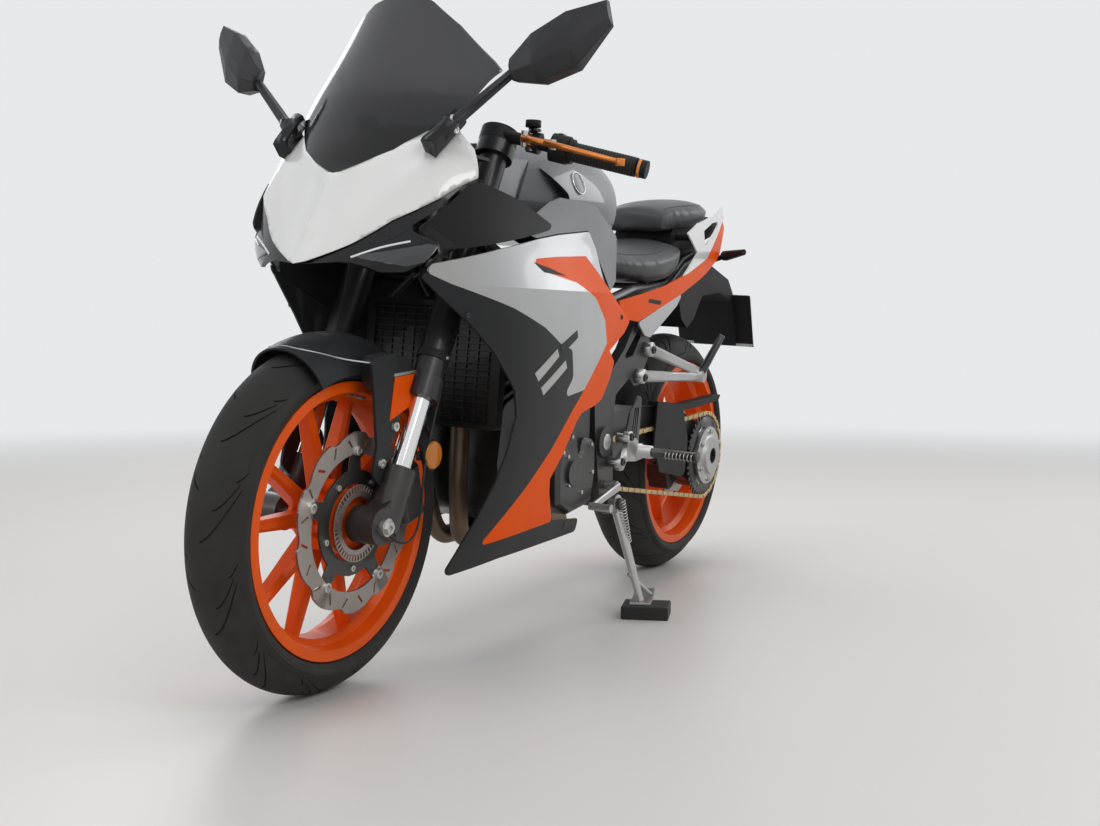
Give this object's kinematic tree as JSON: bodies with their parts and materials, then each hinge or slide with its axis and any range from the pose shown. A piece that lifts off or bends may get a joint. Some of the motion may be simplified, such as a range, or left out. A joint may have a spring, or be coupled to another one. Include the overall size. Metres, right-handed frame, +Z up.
{
  "type": "sport bike",
  "caption": "Fully faired road sport bike with a single-sided rear arm, leaning on its side stand with its foot on a pad.",
  "frame": {"origin": "on the floor, under the middle of the whole bike's box", "axes": "+X towards the front of the bike, +Y to the rider's left, +Z up; the bike leans to +Y on its stand"},
  "size_m": [2.038, 0.8106, 1.1757],
  "materials": {
    "black_metal": "satin black",
    "black_plastic": "grained black",
    "bright": "bright chrome",
    "charcoal": "satin charcoal",
    "dark_grey": "satin dark grey",
    "disc": "ground steel",
    "gloss_black": "gloss black",
    "gold": "gold chain",
    "lamp": "red lens",
    "lens": "clear",
    "orange": "gloss orange",
    "orange_plastic": "gloss orange",
    "rubber": "rubber",
    "seat": "grained vinyl",
    "silver": "satin silver",
    "silver_paint": "silver paint",
    "smoke": "smoked",
    "steel": "heat-tinted steel",
    "tank_grey": "metallic grey",
    "tyre": "matte rubber",
    "white": "pearl white"
  },
  "bodies": {
    "root": {"fairing_left_upper": "silver_paint", "fairing_right_upper": "silver_paint", "fairing_left_lower": "charcoal", "fairing_right_lower": "charcoal", "orange_trims": "orange_plastic", "tank_covers": "tank_grey", "side_panels": "black_plastic", "rider_seat": "seat", "pillion_seat": "seat", "main_frame": "black_metal", "frame_plates": "silver", "seat_frame": "black_metal", "engine_block": "dark_grey", "engine_covers": "dark_grey", "radiator": "black_metal", "exhaust_pipes": "steel", "silencer": "black_metal", "swingarm": "dark_grey", "drive_chain": "gold", "chain_guard": "black_plastic", "rear_shock": "silver", "rear_caliper": "black_metal", "nose_fairing": "white", "headlight_housing": "gloss_black", "headlight_lenses": "lens", "windscreen": "smoke", "dashboard": "black_plastic", "mirrors": "black_plastic", "fuel_tank": "tank_grey", "tail_lower": "silver_paint", "tail_cowl": "white", "tail_base": "black_plastic", "tail_light": "lamp", "number_plate": "white", "rider_brackets": "silver", "pillion_brackets": "silver", "foot_controls": "silver", "stand_pad": "rubber"},
    "steering": {"fork_outer_tubes": "black_metal", "fork_inner_tubes": "bright", "fork_feet": "black_metal", "front_axle": "silver", "triple_clamps": "black_metal", "handlebars": "black_metal", "hand_controls": "black_metal", "front_mudguard": "black_plastic", "front_caliper": "black_metal"},
    "front_wheel": {"front_tyre": "tyre", "front_rim": "orange", "front_disc": "disc"},
    "rear_wheel": {"rear_tyre": "tyre", "rear_rim": "orange", "rear_disc": "disc", "rear_sprocket": "silver"},
    "side_stand": {"side_stand": "silver"},
    "fuel_lid": {"fuel_lid": "silver"}
  },
  "joints": [
    {"name": "steering_turn", "type": "hinge", "parent": "root", "child": "steering", "pos_m": [0.42465, -0.01479, 0.84871], "axis": [-0.4226, 0.0522, 0.9048], "range_deg": [-27, 27]},
    {"name": "front_wheel_spin", "type": "hinge", "parent": "steering", "child": "front_wheel", "pos_m": [0.72601, -0.04686, 0.29263], "axis": [0, 0.9983, -0.0576], "continuous": true},
    {"name": "rear_wheel_spin", "type": "hinge", "parent": "root", "child": "rear_wheel", "pos_m": [-0.65399, -0.04645, 0.29962], "axis": [0, 0.9983, -0.0576], "continuous": true},
    {"name": "side_stand_fold", "type": "hinge", "parent": "root", "child": "side_stand", "pos_m": [-0.03599, 0.12837, 0.23946], "axis": [0, 0.9966, 0.0819], "range_deg": [0, 85]},
    {"name": "fuel_lid_open", "type": "hinge", "parent": "root", "child": "fuel_lid", "pos_m": [0.20701, -0.0072, 0.98049], "axis": [0, 0.9983, -0.0576], "range_deg": [0, 95]}
  ]
}
